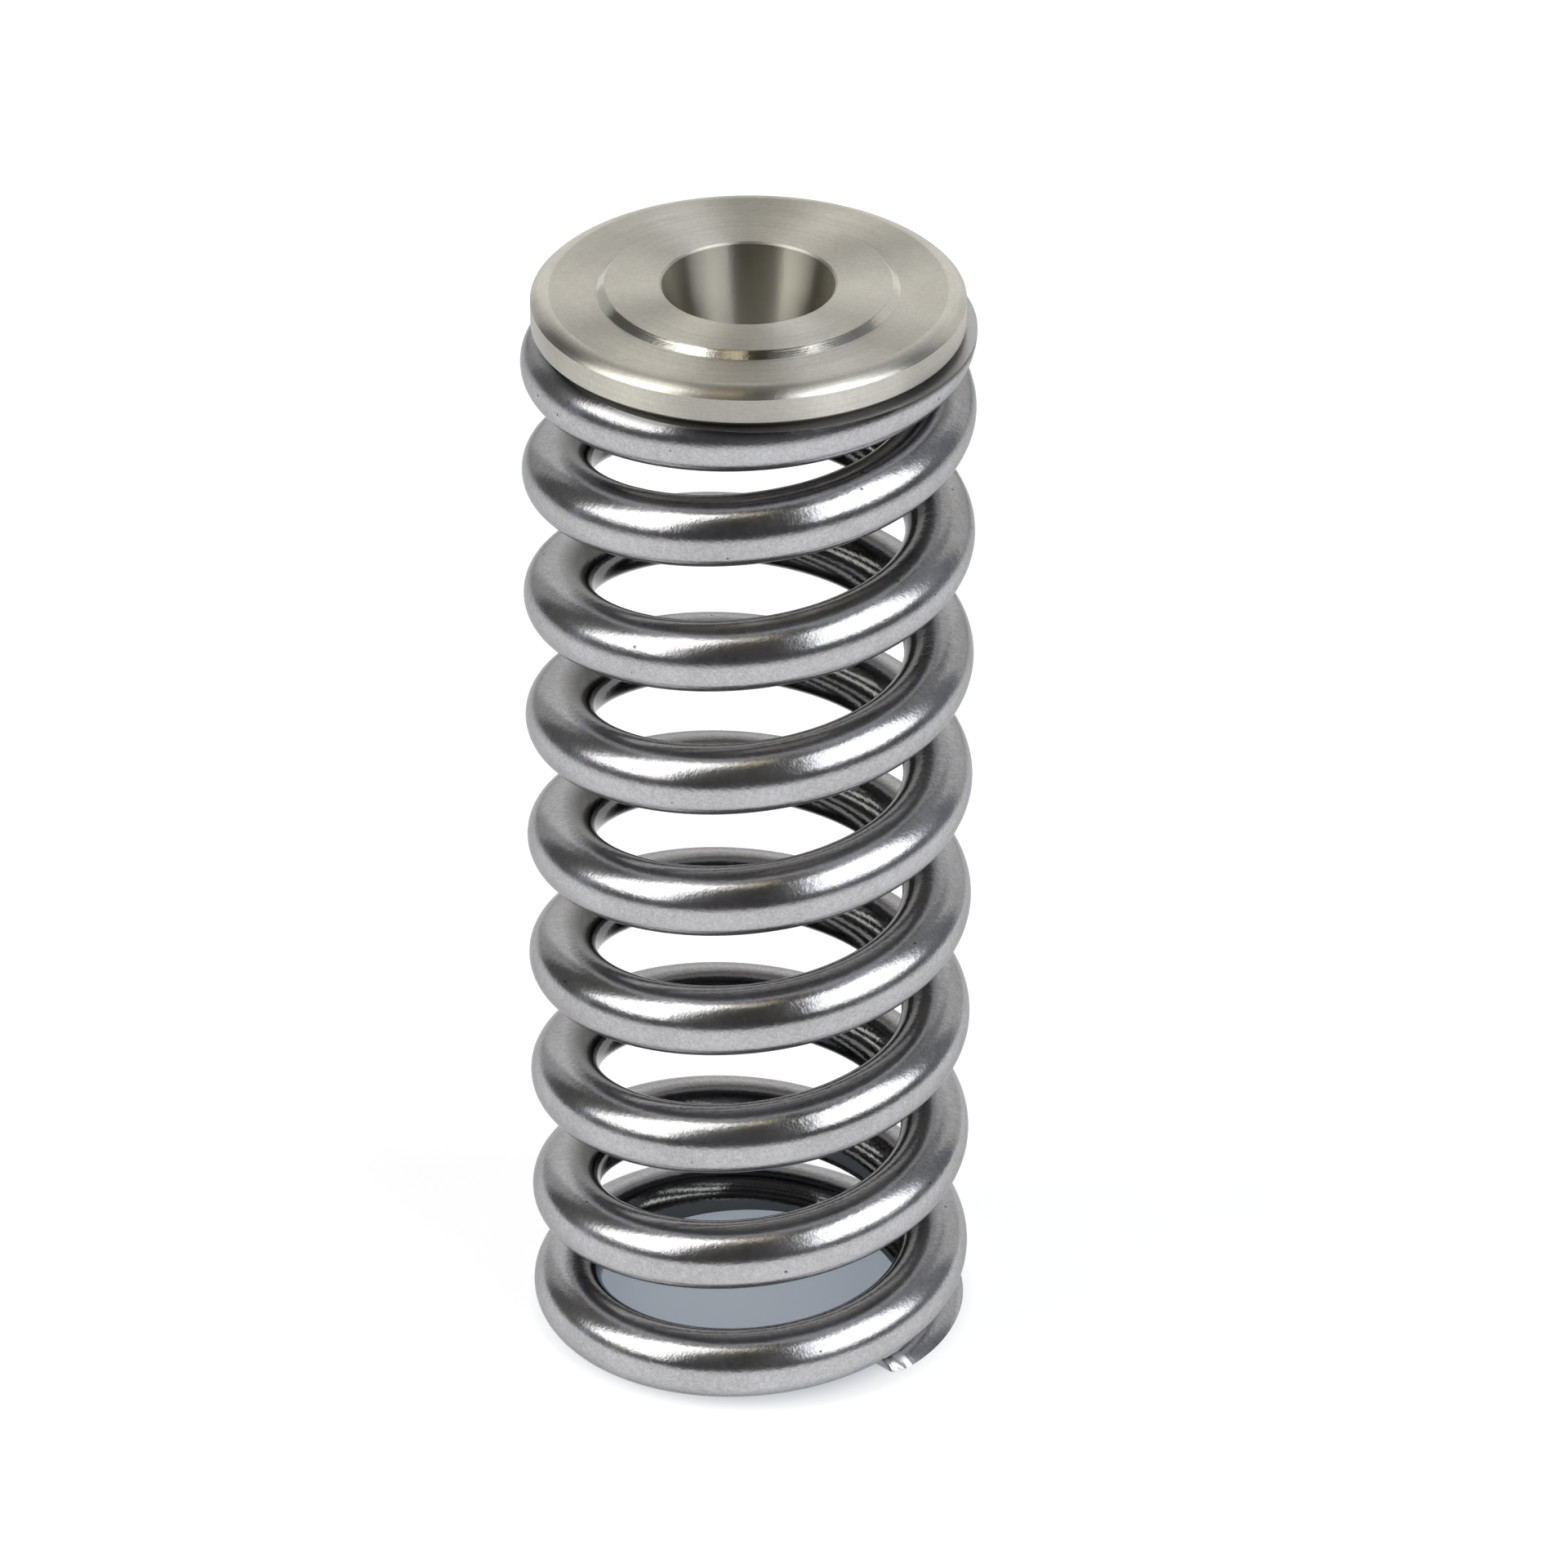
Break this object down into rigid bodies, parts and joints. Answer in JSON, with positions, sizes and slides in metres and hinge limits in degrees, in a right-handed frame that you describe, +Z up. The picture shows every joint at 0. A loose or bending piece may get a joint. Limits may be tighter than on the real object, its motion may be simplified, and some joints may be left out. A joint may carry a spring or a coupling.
{
  "type": "engine valve spring with retainer",
  "caption": "Coil compression spring of round wire with closed and ground ends, for an engine valve, with a turned retainer seated on its upper end.",
  "frame": {"origin": "centre of the spring's ground bottom end, on its axis", "axes": "+Z up the spring's axis towards the retainer; the bottom end of the wire lies 45.5 degrees from +X towards -Y"},
  "size_m": [0.027, 0.027, 0.0711],
  "materials": {
    "spring_steel": "satin",
    "titanium": "satin"
  },
  "bodies": {
    "root": {"coil_spring": "spring_steel", "spring_retainer": "titanium"}
  },
  "joints": []
}
